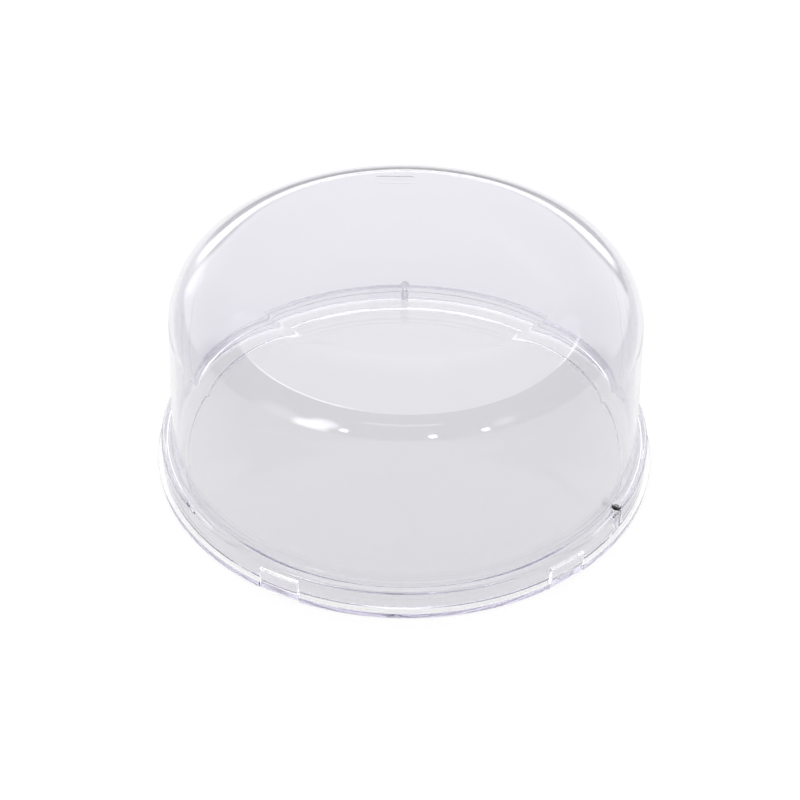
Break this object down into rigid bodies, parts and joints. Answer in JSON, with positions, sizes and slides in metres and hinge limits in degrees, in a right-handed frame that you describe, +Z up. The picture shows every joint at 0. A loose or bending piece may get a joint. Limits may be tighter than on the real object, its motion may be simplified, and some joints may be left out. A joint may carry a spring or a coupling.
{
  "type": "humidity dome tray",
  "caption": "Round clear flat-topped humidity dome with a rounded shoulder and a stepped skirt, standing on a low clear base tray with spring tabs and locating pins.",
  "frame": {"origin": "bottom centre, on the surface that the tray stands on, under the dome's axis", "axes": "+Z up along the dome's axis, -Y towards the front, where two of the spring tabs are"},
  "size_m": [0.18, 0.18, 0.0784],
  "materials": {
    "clear_dome": "polished clear moulding",
    "clear_tray": "polished clear moulding",
    "clear_pins": "clear moulding",
    "clear_tabs": "clear moulding"
  },
  "bodies": {
    "tray": {"base_tray": "clear_tray", "locating_pin_back": "clear_pins", "locating_pin_right": "clear_pins"},
    "dome": {"dome_cover": "clear_dome"},
    "tab_front_left": {"spring_tab_front_left": "clear_tabs"},
    "tab_front_right": {"spring_tab_front_right": "clear_tabs"},
    "tab_back": {"spring_tab_back": "clear_tabs"}
  },
  "joints": [
    {"name": "dome_lift", "type": "slide", "parent": "tray", "child": "dome", "axis": [0, 0, 1], "range_m": [0, 0.1]},
    {"name": "tab_front_left_flex", "type": "hinge", "parent": "tray", "child": "tab_front_left", "pos_m": [-0.03915, -0.08026, 0.0007], "axis": [0.8988, -0.4384, 0], "range_deg": [0, 4], "stiffness_Nm_per_rad": 0.5},
    {"name": "tab_front_right_flex", "type": "hinge", "parent": "tray", "child": "tab_front_right", "pos_m": [0.05312, -0.07178, 0.0007], "axis": [0.8039, 0.5948, 0], "range_deg": [0, 4], "stiffness_Nm_per_rad": 0.5},
    {"name": "tab_back_flex", "type": "hinge", "parent": "tray", "child": "tab_back", "pos_m": [-0.00933, 0.08881, 0.0007], "axis": [-0.9945, -0.1045, 0], "range_deg": [0, 4], "stiffness_Nm_per_rad": 0.5}
  ]
}
